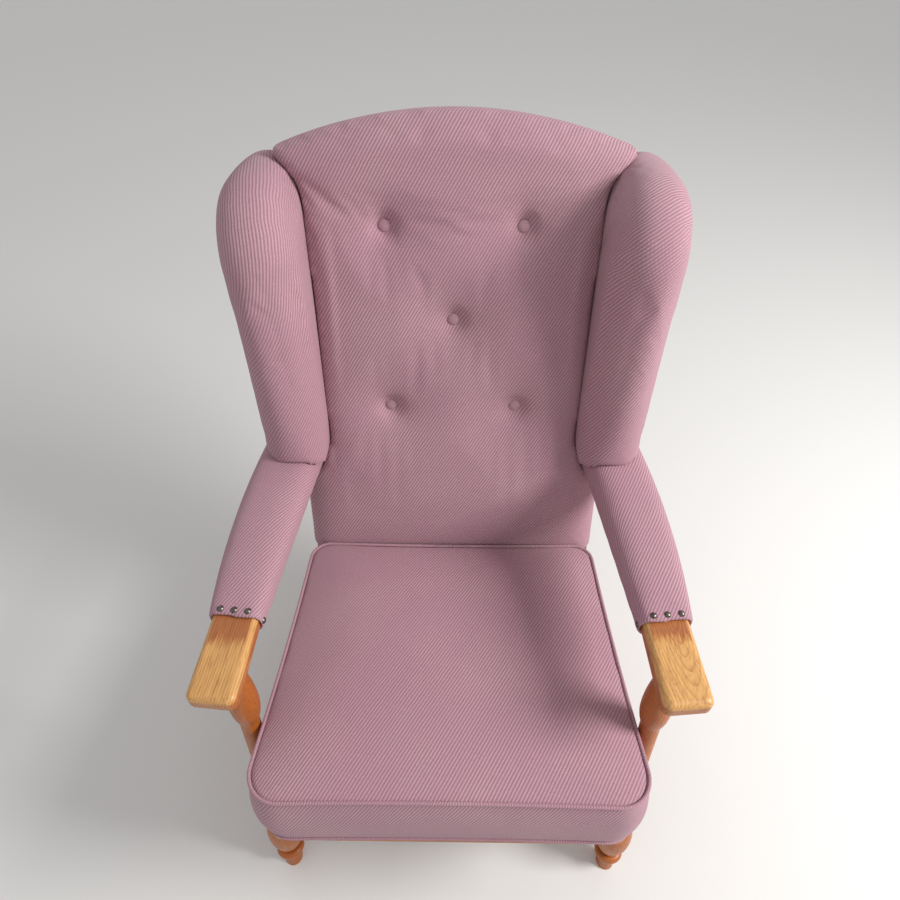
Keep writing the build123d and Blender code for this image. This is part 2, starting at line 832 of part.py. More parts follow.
def wing_shift(up):
    """How far the wing's lean carries it outwards at a height up the back."""
    return (up - wing_pivot) * tan(wing_turn)


def wing_outline(x, inset, rear):
    """The wing's side view at x, drawn in from its front and top, from the rear line to the front."""
    middle_reach = (wing_foot_reach + wing_reach) / 2 - wing_hollow
    top = wing_top - inset
    with BuildSketch(side_plane(x)) as outline:
        with BuildLine():
            front = ThreePointArc(
                (wing_foot_reach - inset, wing_bottom),
                (middle_reach - inset, (wing_bottom + wing_widest) / 2),
                (wing_reach - inset, wing_widest),
            )
            brow = (wing_shoulder - inset, top - wing_shoulder_drop)
            shoulder = TangentArc(front @ 1, brow, tangent=front % 1)
            TangentArc(shoulder @ 1, (rear, top), tangent=shoulder % 1)
            Polyline((rear, top), (rear, wing_bottom), (wing_foot_reach - inset, wing_bottom))
        make_face()
    return outline.sketch


wing_rear = webbing_front + fit_gap


def wing_body(grow):
    """The wing's closed form with its rolled rim, grown all round."""
    outline = wing_outline(wing_outer + grow, -grow, post_rear)
    with BuildPart() as roll:
        extrude(outline, amount=wing_outer - wing_inner + 2 * grow)
        flanks = roll.faces().filter_by(Axis.X)
        fillet(flanks.edges().filter_by(GeomType.CIRCLE), wing_round + grow)
    with BuildPart() as body:
        add(roll.part.rotate(wing_axis, -wing_lean))
        with BuildSketch(back_plane.offset(wing_rear)):
            with Locations((post_outer + fit_gap, 0)):
                Rectangle(2 * post_outer, 4 * wing_top, align=(Align.MAX, Align.CENTER))
        extrude(amount=-frame_setback, mode=Mode.SUBTRACT)
    return body.part


def wing_room():
    """The space that the right wing takes out of the back pad, down to where the arm starts."""
    with BuildPart() as room:
        add(wing_body(soft_gap))
        split(bisect_by=arm_plane.offset(-soft_gap), keep=Keep.TOP)
    return room.part


board_outer = post_outer + wing_board_thickness
wing_pocket = wing_outline(post_outer - fit_gap, wing_roll, post_rear)
with BuildPart() as wing_pad:
    add(wing_body(0))
    extrude(wing_pocket, amount=-wing_outer, mode=Mode.SUBTRACT)
    add(arm_pad_body(soft_gap), mode=Mode.SUBTRACT)
    split(bisect_by=arm_plane, keep=Keep.TOP)
save_pair(wing_pad.part, "wing_pad")

board_inset = wing_roll + fit_gap
board_floor = arm_plane.offset(arm_pad_rear_cover + board_lift)
board_drop = arm_length * sin(arm_dip)
board_rise = arm_height + arm_pad_rear_cover + board_lift - board_drop - back_z
board_rear_bottom = (board_rise - post_rear * sin(recline)) / cos(recline)
with BuildPart() as wing_board:
    extrude(wing_outline(post_outer, board_inset, post_rear), amount=-wing_board_thickness)
    split(bisect_by=board_floor, keep=Keep.TOP)
save_pair(wing_board.part, "wing_board")

with BuildPart() as outside_wing_cover:
    cover_outline = wing_outline(board_outer, board_inset, post_rear)
    cover_face = back_plane.from_local_coords(Vector(wing_outer - wing_cover_inset, wing_pivot, 0))
    extrude(cover_outline, amount=board_outer - wing_outer - wing_shift(wing_top))
    split(bisect_by=Plane(cover_face, z_dir=wing_outward), keep=Keep.BOTTOM)
    split(bisect_by=board_floor, keep=Keep.TOP)
    rims = outside_wing_cover.faces().sort_by(Axis.X)[-1].edges()
    fillet(rims, wing_cover_round)
save_pair(outside_wing_cover.part, "outside_wing_cover")

# Back pad: crowned front, sides drawn in to the crease, five sewn tufts, and a lap over the crest rail

def back_outline(level, inset):
    """The back pad's face at a level out from the back plane, drawn in all round."""
    shoulder_half = back_shoulder_half - inset
    bottom_half = back_bottom_half - inset
    shoulder_up = arch(shoulder_half, inset)
    with BuildSketch(back_plane.offset(level)) as face:
        with BuildLine():
            Polyline(
                (-shoulder_half, shoulder_up),
                (-bottom_half, back_bottom + inset),
                (bottom_half, back_bottom + inset),
                (shoulder_half, shoulder_up),
            )
            ThreePointArc((shoulder_half, shoulder_up), (0, arch(0, inset)), (-shoulder_half, shoulder_up))
        make_face()
        fillet(face.vertices(), back_corner)
    return face.sketch


def tuft(spot, gap):
    """A sewn tuft: the pad drawn in round a button."""
    with BuildSketch(button_plane(spot)) as hollow:
        with BuildLine():
            Polyline(
                (tuft_reach, pad_front),
                (tuft_reach, pad_front + tuft_depth),
                (0, pad_front + tuft_depth),
                (0, -tuft_depth),
                (button_radius + gap, -tuft_depth),
            )
            ThreePointArc(
                (button_radius + gap, -tuft_depth),
                (tuft_reach * tuft_turn, -tuft_depth * tuft_rise),
                (tuft_reach, pad_front),
            )
        make_face()
    return hollow.sketch


with BuildPart() as back_pad:
    extrude(back_outline(pad_rear, 0), amount=back_side_wall)
    loft(
        [
            back_outline(pad_edge, 0),
            back_outline(pad_edge + back_crown * crown_shoulder, pad_shoulder),
            back_outline(pad_edge + back_crown * crown_brow, pad_brow),
            back_outline(pad_front, pad_plateau),
        ]
    )
    with BuildSketch(back_plane.offset(pad_edge)):
        with BuildLine():
            lap_half = post_outer
            lap_low = arch(lap_half, crest_cover - fit_gap)
            lap_high = arch(lap_half, 0)
            Line((-lap_half, lap_high), (-lap_half, lap_low))
            ThreePointArc((-lap_half, lap_low), (0, arch(0, crest_cover - fit_gap)), (lap_half, lap_low))
            Line((lap_half, lap_low), (lap_half, lap_high))
            ThreePointArc((lap_half, lap_high), (0, arch(0, 0)), (-lap_half, lap_high))
        make_face()
    extrude(amount=post_rear - pad_edge)
    for spot in button_spots:
        button_axis = Axis(button_plane(spot).origin, back_plane.z_dir)
        revolve(tuft(spot, fit_gap), axis=button_axis, mode=Mode.SUBTRACT)
        with BuildSketch(back_plane.offset(pad_rear)):
            with Locations(spot):
                Circle(tie_radius + tie_hole_gap)
        extrude(amount=-pad_rear, mode=Mode.SUBTRACT)
    add(wing_room(), mode=Mode.SUBTRACT)
    mirror(wing_room(), about=Plane.YZ, mode=Mode.SUBTRACT)
    add(arm_pad_body(soft_gap), mode=Mode.SUBTRACT)
    mirror(arm_pad_body(soft_gap), about=Plane.YZ, mode=Mode.SUBTRACT)
save(back_pad.part, "back_pad")

with BuildPart() as back_buttons:
    for spot in button_spots:
        with BuildSketch(button_plane(spot)):
            with BuildLine():
                seat = fit_gap - tuft_depth
                rim = seat + button_edge
                brow, rise = dome_middle(button_radius, button_dome)
                Polyline((0, rim + button_dome), (0, seat), (button_radius, seat), (button_radius, rim))
                ThreePointArc((button_radius, rim), (brow, rim + rise), (0, rim + button_dome))
            make_face()
        revolve(axis=Axis(button_plane(spot).origin, back_plane.z_dir))
save(back_buttons.part, "back_buttons")

with BuildPart() as button_ties:
    for spot in button_spots:
        with BuildSketch(back_plane.offset(hessian_rear)):
            with Locations(spot):
                Circle(tie_washer_radius)
        extrude(amount=-tie_washer)
        with BuildSketch(back_plane.offset(hessian_rear)):
            with Locations(spot):
                Circle(tie_radius)
        extrude(amount=fit_gap - tuft_depth - hessian_rear)
save(button_ties.part, "button_ties")

with BuildPart() as outside_back_cover:
    with BuildSketch(back_plane.offset(post_rear)) as panel:
        with BuildLine():
            panel_end = wing_top - wing_round
            panel_top = arch(post_outer, 0)
            panel_high = wing_outer - wing_cover_inset + wing_shift(panel_end)
            panel_low = wing_outer - wing_cover_inset + wing_shift(board_rear_bottom)
            Polyline(
                (-post_outer, panel_top),
                (-panel_high, panel_end),
                (-panel_low, board_rear_bottom),
                (-post_outer, board_rear_bottom - panel_step),
                (-post_outer, back_cover_bottom),
                (post_outer, back_cover_bottom),
                (post_outer, board_rear_bottom - panel_step),
                (panel_low, board_rear_bottom),
                (panel_high, panel_end),
                (post_outer, panel_top),
            )
            ThreePointArc((post_outer, panel_top), (0, arch(0, 0)), (-post_outer, panel_top))
        make_face()
        fillet(panel.vertices().group_by(Axis.Y)[0], back_corner)
    extrude(amount=-back_cover_thickness)
save(outside_back_cover.part, "outside_back_cover")

# Loose cushion

with BuildPart() as cushion_cover:
    add(cushion_body(0))
    add(cushion_body(cover_skin), mode=Mode.SUBTRACT)
save(cushion_cover.part, "cushion_cover")
save(cushion_body(cover_skin + cover_gap), "cushion_core")
save(piping_loops(), "cushion_piping")
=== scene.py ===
from math import cos, pi, radians, sin, tan

import bmesh
import bpy
import numpy as np
from bpy.props import FloatProperty, FloatVectorProperty, IntProperty, PointerProperty
from mathutils import Matrix, Vector


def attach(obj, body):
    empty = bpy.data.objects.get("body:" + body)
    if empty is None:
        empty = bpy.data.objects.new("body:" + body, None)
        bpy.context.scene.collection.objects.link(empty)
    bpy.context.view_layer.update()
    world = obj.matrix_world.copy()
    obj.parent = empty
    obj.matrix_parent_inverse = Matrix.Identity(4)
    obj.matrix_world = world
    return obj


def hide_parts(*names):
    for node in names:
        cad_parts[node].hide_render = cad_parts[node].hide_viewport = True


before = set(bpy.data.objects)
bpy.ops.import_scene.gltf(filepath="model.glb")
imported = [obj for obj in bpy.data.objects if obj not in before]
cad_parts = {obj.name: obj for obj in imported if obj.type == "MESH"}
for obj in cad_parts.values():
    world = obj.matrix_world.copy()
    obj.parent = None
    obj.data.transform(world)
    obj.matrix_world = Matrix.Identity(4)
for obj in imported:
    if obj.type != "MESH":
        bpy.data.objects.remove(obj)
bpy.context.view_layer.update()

same_place = 0.00002  # Points closer than this, in metres, are one point
sliver = 1e-6  # Least length in metres, so that an arc's angle stays within a right angle

bl_info = {
    "name": "Wingback chair",
    "version": (1, 0, 0),
    "blender": (4, 5, 0),
    "location": "View3D > Sidebar > Chair",
    "description": "Dresses the frame of a wingback chair in ribbed twill, worn oak and aged nails",
    "category": "Object",
}


def linear(code):
    """An sRGB hex colour as linear red, green, blue and alpha."""
    parts = [int(code[i : i + 2], 16) / 255 for i in (1, 3, 5)]
    return [c / 12.92 if c <= 0.04045 else ((c + 0.055) / 1.055) ** 2.4 for c in parts] + [1.0]


def colour(name, description, code):
    """A colour setting from its sRGB hex value."""
    return FloatVectorProperty(name=name, description=description, subtype="COLOR", size=4,
                               min=0.0, max=1.0, default=linear(code))


def length(name, description, metres):
    """A size setting in metres."""
    return FloatProperty(name=name, description=description, default=metres, unit="LENGTH", precision=5)


def angled(name, description, degrees):
    """An angle setting from degrees."""
    return FloatProperty(name=name, description=description, default=radians(degrees), subtype="ANGLE")


class ChairShape(bpy.types.PropertyGroup):
    """Sizes that the dressing repeats from the frame."""

    seat_slope: angled("Seat slope", "Fall of the deck towards the back", 5.6)
    seat_front: length("Seat front", "Y of the cushion's bottom front seam", -0.3617)
    deck_height: length("Deck height", "Z of the cushion's bottom front seam", 0.30858)
    cushion_thickness: length("Cushion thickness", "From the bottom seam to the top seam", 0.122)
    seam_stand: length("Seam stand", "How far the border stands out to the cords", 0.0028)
    recline: angled("Recline", "Lean of the back from upright", 19.0)
    back_y: length("Back Y", "Y of the crease between seat and back", 0.0672)
    back_z: length("Back Z", "Z of the crease between seat and back", 0.38911)
    wing_middle: length("Wing middle", "X of the middle of the wing's roll", 0.2435)
    wing_round: length("Wing round", "Radius of the wing's rolled front", 0.042)
    wing_pivot: length("Wing pivot", "Height up the back where the wing's lean turns", 0.250)
    wing_lean: angled("Wing lean", "Outward lean of the wing", 1.8)
    arm_x: length("Arm X", "X of the arm's front end", 0.282)
    arm_y: length("Arm Y", "Y of the arm's front end", -0.2788)
    arm_z: length("Arm Z", "Z of the middle of the arm's front end", 0.549)
    arm_flare: angled("Arm flare", "Turn of the arm in plan", 5.18)
    arm_around: length("Arm round", "Radius of the padded arm's corners", 0.016)
    button_spread: length("Button spread", "Half the distance across between buttons", 0.095)
    button_top: length("Top buttons", "Height of the top buttons up the back", 0.520)
    button_middle: length("Middle button", "Height of the middle button up the back", 0.390)
    button_low: length("Low buttons", "Height of the low buttons up the back", 0.254)
    button_radius: length("Button radius", "Radius of a covered button", 0.0095)
    button_seat: length("Button seat", "Depth of a button's underside behind the crease plane", -0.0157)


class ChairCloth(bpy.types.PropertyGroup):
    """The twill's weave and colours."""

    rib_pitch: length("Rib pitch", "Distance from one diagonal rib to the next", 0.0041)
    rib_relief: length("Rib relief", "Height of a rib over its furrow", 0.0008)
    yarn_pitch: length("Yarn pitch", "Distance from one slanted yarn to the next along a rib", 0.0021)
    crest: colour("Crest", "Colour of the ribs", "#BD939E")
    # The furrow colour is painted shade in the grooves between the ribs.
    furrow_shade: colour("Furrow", "Colour between the ribs", "#9F7581")
    faded: colour("Faded", "Colour of the ribs where sun and use have paled them", "#C6A0A7")
    sheen: FloatProperty(name="Sheen", description="Soft light off the fibre ends", default=0.12,
                         min=0.0, max=1.0)


class ChairPadding(bpy.types.PropertyGroup):
    """How the padding swells the cover."""

    wing_grid: length("Wing grid", "Size of the even grid that a wing is swollen on", 0.006)
    back_grid: length("Back grid", "Size of the even grid that the back is swollen on", 0.007)
    arm_grid: length("Arm grid", "Size of the even grid that an arm pad is swollen on", 0.0045)
    cushion_grid: length("Cushion grid", "Size of the even grid that the seat cushion is swollen on", 0.0055)
    panel_grid: length("Panel grid", "Size of the even grid of the thin outside wing panels", 0.0035)
    pressure: FloatProperty(name="Pressure", description="Push of the filling on the cover", default=4.0)
    frames: IntProperty(name="Frames", description="Steps that the filling swells for", default=16,
                        subtype="UNSIGNED")
    cushion_swell: length("Cushion swell", "The furthest that the seat cushion swells", 0.008)
    back_swell: length("Back swell", "The furthest that the back swells", 0.004)
    side_swell: length("Side swell", "The furthest that the back's sides swell", 0.007)
    wing_swell: length("Wing swell", "The furthest that a wing swells", 0.004)
    arm_swell: length("Arm swell", "The furthest that an arm pad swells", 0.003)


class ChairOak(bpy.types.PropertyGroup):
    """The show wood's grain and colours."""

    ring_spacing: length("Ring spacing", "Distance between growth rings", 0.0034)
    pore_width: length("Pore width", "Width of the open pores, drawn coarse enough to show", 0.0008)
    # Golden is partly worn wood and partly a painted highlight on the upturned tops and rounded edges.
    golden: colour("Golden", "Wood where the lacquer has worn pale", "#DCA764")
    amber: colour("Amber", "Lacquered wood between the rings", "#B5631F")
    brown: colour("Brown", "Late wood of the rings", "#8C4B1A")
    stained: colour("Stained", "Lacquer that stayed dark beside the cover", "#B06C3C")
    pore: colour("Pore", "Dirt in the open pores", "#6E3F1E")


class ChairStage(bpy.types.PropertyGroup):
    """Where the camera stands and how the studio is lit."""

    camera_x: length("Camera X", "Camera's place across", 0.0048)
    camera_y: length("Camera Y", "Camera's place in front", -0.5837)
    camera_z: length("Camera Z", "Camera's height", 1.3244)
    camera_dip: angled("Camera dip", "Tilt below level", 47.08)
    camera_turn: angled("Camera turn", "Turn to the left", 0.69)
    lens: FloatProperty(name="Lens", description="Focal length in millimetres", default=26.37)
    sensor: FloatProperty(name="Sensor", description="Width of the sensor in millimetres", default=36.0)
    key_place: FloatVectorProperty(name="Key place", description="Where the soft key light hangs", size=3,
                                   default=(2.15, -0.5, 2.1), subtype="TRANSLATION", unit="LENGTH")
    key_aim: FloatVectorProperty(name="Key aim", description="Place that the key light looks at", size=3,
                                 default=(0.0, 0.0, 0.5), subtype="TRANSLATION", unit="LENGTH")
    key_size: length("Key size", "Side of the square key light", 0.9)
    key_power: FloatProperty(name="Key power", description="Power of the soft key light", default=70.0,
                             unit="POWER")
    floor: colour("Floor", "Plain pale floor", "#E4E2DE")
    floor_reach: length("Floor reach", "From the chair to the floor's edge", 9.0)
    sky_colour: colour("Sky colour", "Colour of the even light all round", "#F6F7FA")
    sky: FloatProperty(name="Sky", description="Level of the even light all round", default=0.61)


# Frames of reference

def seat_frame(shape):
    """Matrix to the seat's frame: X across, Y back along the deck, Z up off it."""
    turned = Matrix.Rotation(-shape.seat_slope, 4, "X")
    return (Matrix.Translation((0, shape.seat_front, shape.deck_height)) @ turned).inverted()


def back_frame(shape):
    """Matrix to the back's frame: X across, Y up the back, Z forward out of it."""
    turned = Matrix.Rotation(pi / 2 - shape.recline, 4, "X")
    return (Matrix.Translation((0, shape.back_y, shape.back_z)) @ turned).inverted()


def arm_frame(shape, side):
    """Matrix to an arm's frame: X outward from the chair, Y back along the arm, Z up."""
    turned = Matrix.Rotation(side * shape.arm_flare, 4, "Z") @ Matrix.Scale(side, 4, (1, 0, 0))
    return (Matrix.Translation((side * shape.arm_x, shape.arm_y, shape.arm_z)) @ turned).inverted()


def places(mesh):
    """A mesh's vertex places as rows of x, y, z."""
    found = np.empty(len(mesh.vertices) * 3, np.float32)
    mesh.vertices.foreach_get("co", found)
    return found.reshape(-1, 3)


def seen_from(matrix, points):
    """Points in another frame of reference."""
    turned = np.array(matrix)
    return points @ turned[:3, :3].T + turned[:3, 3]


# Pads

def new_piece(context, name, mesh):
    """An object at the origin that holds a finished mesh."""
    piece = bpy.data.objects.new(name, mesh)
    context.scene.collection.objects.link(piece)
    return piece


def node_copy(name, node, shell_from=None):
    """A merged copy of a frame node's mesh, or of the one shell that reaches furthest along a direction."""
    made = bmesh.new()
    made.from_mesh(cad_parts[node].data)
    bmesh.ops.remove_doubles(made, verts=made.verts, dist=same_place)
    if shell_from is not None:
        reached = [max(made.verts, key=lambda vertex: vertex.co.dot(shell_from))]
        kept = set(reached)
        while reached:
            for edge in reached.pop().link_edges:
                fresh = [vertex for vertex in edge.verts if vertex not in kept]
                kept.update(fresh)
                reached.extend(fresh)
        bmesh.ops.delete(made, geom=[vertex for vertex in made.verts if vertex not in kept], context="VERTS")
    bmesh.ops.recalc_face_normals(made, faces=made.faces)
    mesh = bpy.data.meshes.new(name)
    made.to_mesh(mesh)
    made.free()
    return mesh


def ease(piece, passes, chosen):
    """Smooth the chosen points of a pad, so that its edges there are soft."""
    eased = bmesh.new()
    eased.from_mesh(piece.data)
    eased.verts.ensure_lookup_table()
    picked = [eased.verts[i] for i in np.nonzero(chosen)[0]]
    for _ in range(passes):
        bmesh.ops.smooth_vert(eased, verts=picked, factor=0.5,
                              use_axis_x=True, use_axis_y=True, use_axis_z=True)
    eased.to_mesh(piece.data)
    eased.free()


def even_pad(context, name, node, grid, smoothing, shell_from=None):
    """A pad on an even grid, in the place of a frame node, with its corners eased."""
    piece = new_piece(context, name, node_copy(name, node, shell_from))
    remesh = piece.modifiers.new("even grid", "REMESH")
    remesh.mode = "VOXEL"
    remesh.voxel_size = grid
    graph = context.evaluated_depsgraph_get()
    even = bpy.data.meshes.new_from_object(piece.evaluated_get(graph))
    piece.modifiers.clear()
    piece.data = even
    even.name = name
    ease(piece, smoothing, np.full(len(even.vertices), True))
    return piece


def fill_out(context, piece, held, cap):
    """Swell a pad under even pressure. Held points stay, and no point moves further than its cap."""
    padding = context.scene.chair_padding
    at_rest = places(piece.data)
    sewn = piece.vertex_groups.new(name="sewn")
    sewn.add([int(i) for i in np.nonzero(held)[0]], 1.0, "REPLACE")
    filling = piece.modifiers.new("filling", "CLOTH")
    filling.settings.vertex_group_mass = "sewn"
    filling.settings.use_pressure = True
    filling.settings.uniform_pressure_force = padding.pressure
    filling.settings.effector_weights.gravity = 0.0
    filling.point_cache.frame_start = 1
    filling.point_cache.frame_end = padding.frames
    for step in range(1, padding.frames + 1):
        context.scene.frame_set(step)
    graph = context.evaluated_depsgraph_get()
    moved = places(piece.evaluated_get(graph).data) - at_rest
    still = 1e-9
    far = np.maximum(np.linalg.norm(moved, axis=1), still)
    moved *= (np.minimum(far, cap) / far)[:, None]
    piece.modifiers.clear()
    piece.vertex_groups.clear()
    piece.data.vertices.foreach_set("co", (at_rest + moved).astype(np.float32).ravel())
    context.scene.frame_set(1)


def lay_weave(piece, flat, heights, angles):
    """Map a piece for the twill: flat gives places along and up the cloth, and the ribs run over it at angles
    that are given in degrees for heights up the cloth, and turn evenly between them."""
    mesh = piece.data
    layer = mesh.uv_layers.new(name="weave")
    rungs = 200
    ladder = np.linspace(flat[:, 1].min(), flat[:, 1].max(), rungs)
    turned = np.radians(np.interp(ladder, heights, angles))
    climb = np.concatenate([[0.0], np.cumsum(np.cos(turned[1:]) * np.diff(ladder))])
    angle = np.radians(np.interp(flat[:, 1], heights, angles))
    ribbed = np.stack([np.interp(flat[:, 1], ladder, climb) - flat[:, 0] * np.sin(angle),
                       flat[:, 0] * np.cos(angle) + flat[:, 1] * np.sin(angle)], 1)
    if len(ribbed) != len(mesh.loops):
        corner = np.empty(len(mesh.loops), np.int32)
        mesh.loops.foreach_get("vertex_index", corner)
        ribbed = ribbed[corner]
    layer.data.foreach_set("uv", ribbed.astype(np.float32).ravel())


def dress(piece, body, slot, material, *nodes, fill=None):
    """Give a piece its finish, its body and the nodes that it stands for. Its fill is not used."""
    piece.data.materials.clear()
    piece.data.materials.append(material)
    piece.data.shade_smooth()
    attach(piece, body)
    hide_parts(*nodes)


def soften(piece):
    """One subdivision over a pad's grid."""
    rounded = piece.modifiers.new("soft surface", "SUBSURF")
    rounded.levels = 1
    rounded.render_levels = 1


# Materials. In a Map Range node's inputs, 0 is the value, 1 and 2 are the range it comes from and 3 and 4 the range
# it goes to. In a colour Mix node's, 0 is the share and 6 and 7 are the colours.

def add_node(tree, kind, inputs=None, **settings):
    """Add a node with its settings, and fill its inputs with values or links."""
    made = tree.nodes.new(kind)
    for key, value in settings.items():
        setattr(made, key, value)
    for key, value in (inputs or {}).items():
        if isinstance(value, bpy.types.NodeSocket):
            tree.links.new(value, made.inputs[key])
        else:
            made.inputs[key].default_value = value
    return made.outputs


def new_material(name):
    """A material with its node tree and its shader, or without them where it is made already."""
    material = bpy.data.materials.get(name)
    if material:
        return material, None, None
    material = bpy.data.materials.new(name)
    material.use_nodes = True
    return material, material.node_tree, material.node_tree.nodes["Principled BSDF"]


def ribbed_twill(context):
    """Wool twill: round diagonal cords with furrows darkened by painted shade, slanted yarns along each, and a dull,
    faded face.
    """
    cloth = context.scene.chair_cloth
    material, tree, shader = new_material("ribbed wool twill")
    if tree is None:
        return material
    weave = add_node(tree, "ShaderNodeUVMap", uv_map="weave")[0]
    # The ribs wander by about 1 mm over about 22 mm.
    wander_scale, wander_by = 45.0, 0.0012
    wander = add_node(tree, "ShaderNodeTexNoise", {"Vector": weave, "Scale": wander_scale, "Detail": 2.0})[0]
    axes = add_node(tree, "ShaderNodeSeparateXYZ", {0: weave})
    shift = add_node(tree, "ShaderNodeMath", {0: wander, 1: wander_by, 2: axes[0]}, operation="MULTIPLY_ADD")[0]
    ribs = add_node(tree, "ShaderNodeMath", {0: shift, 1: 2 * pi / cloth.rib_pitch}, operation="MULTIPLY")[0]
    swing = add_node(tree, "ShaderNodeMath", {0: ribs}, operation="SINE")[0]
    cord = add_node(tree, "ShaderNodeMapRange", {0: swing, 1: -1.0, 2: 0.75, 3: 0.0, 4: 1.0},
                    interpolation_type="SMOOTHSTEP")[0]
    slant = add_node(tree, "ShaderNodeMath", {0: axes[1], 1: 2 * pi / cloth.yarn_pitch, 2: ribs},
                     operation="MULTIPLY_ADD")[0]
    twist = add_node(tree, "ShaderNodeMath", {0: slant}, operation="SINE")[0]
    yarn = add_node(tree, "ShaderNodeMath", {0: twist, 1: 0.14, 2: 0.86}, operation="MULTIPLY_ADD")[0]
    relief = add_node(tree, "ShaderNodeMath", {0: cord, 1: yarn}, operation="MULTIPLY")[0]
    place = add_node(tree, "ShaderNodeTexCoord")[3]
    # Faded patches are about 140 mm across, and the nap varies over about 2.4 mm.
    fading_scale, nap_scale = 7.0, 420.0
    fading = add_node(tree, "ShaderNodeTexNoise", {"Vector": place, "Scale": fading_scale, "Detail": 3.0})[0]
    fade = add_node(tree, "ShaderNodeMapRange", {0: fading, 1: 0.42, 2: 0.66, 3: 0.0, 4: 0.8})[0]
    fuzz = add_node(tree, "ShaderNodeTexNoise", {"Vector": place, "Scale": nap_scale, "Detail": 2.0})[0]
    nap = add_node(tree, "ShaderNodeMapRange", {0: fuzz, 1: 0.25, 2: 0.75, 3: 0.90, 4: 1.08})[0]
    top = add_node(tree, "ShaderNodeMix", {0: fade, 6: cloth.crest, 7: cloth.faded}, data_type="RGBA")[2]
    # Painted shade: the colour sinks from crest to furrow with the relief, so the grooves and the gaps between the
    # slanted yarns are darker.
    shaded_ribs = add_node(tree, "ShaderNodeMix", {0: relief, 6: cloth.furrow_shade, 7: top}, data_type="RGBA")[2]
    napped = add_node(tree, "ShaderNodeVectorMath", {0: shaded_ribs, "Scale": nap}, operation="SCALE")[0]
    tree.links.new(napped, shader.inputs["Base Color"])
    bump = add_node(tree, "ShaderNodeBump",
                    {"Strength": 0.5, "Distance": cloth.rib_relief, "Height": relief})[0]
    tree.links.new(bump, shader.inputs["Normal"])
    shader.inputs["Roughness"].default_value = 0.92
    shader.inputs["Specular IOR Level"].default_value = 0.2
    shader.inputs["Sheen Weight"].default_value = cloth.sheen
    shader.inputs["Sheen Roughness"].default_value = 0.6
    return material


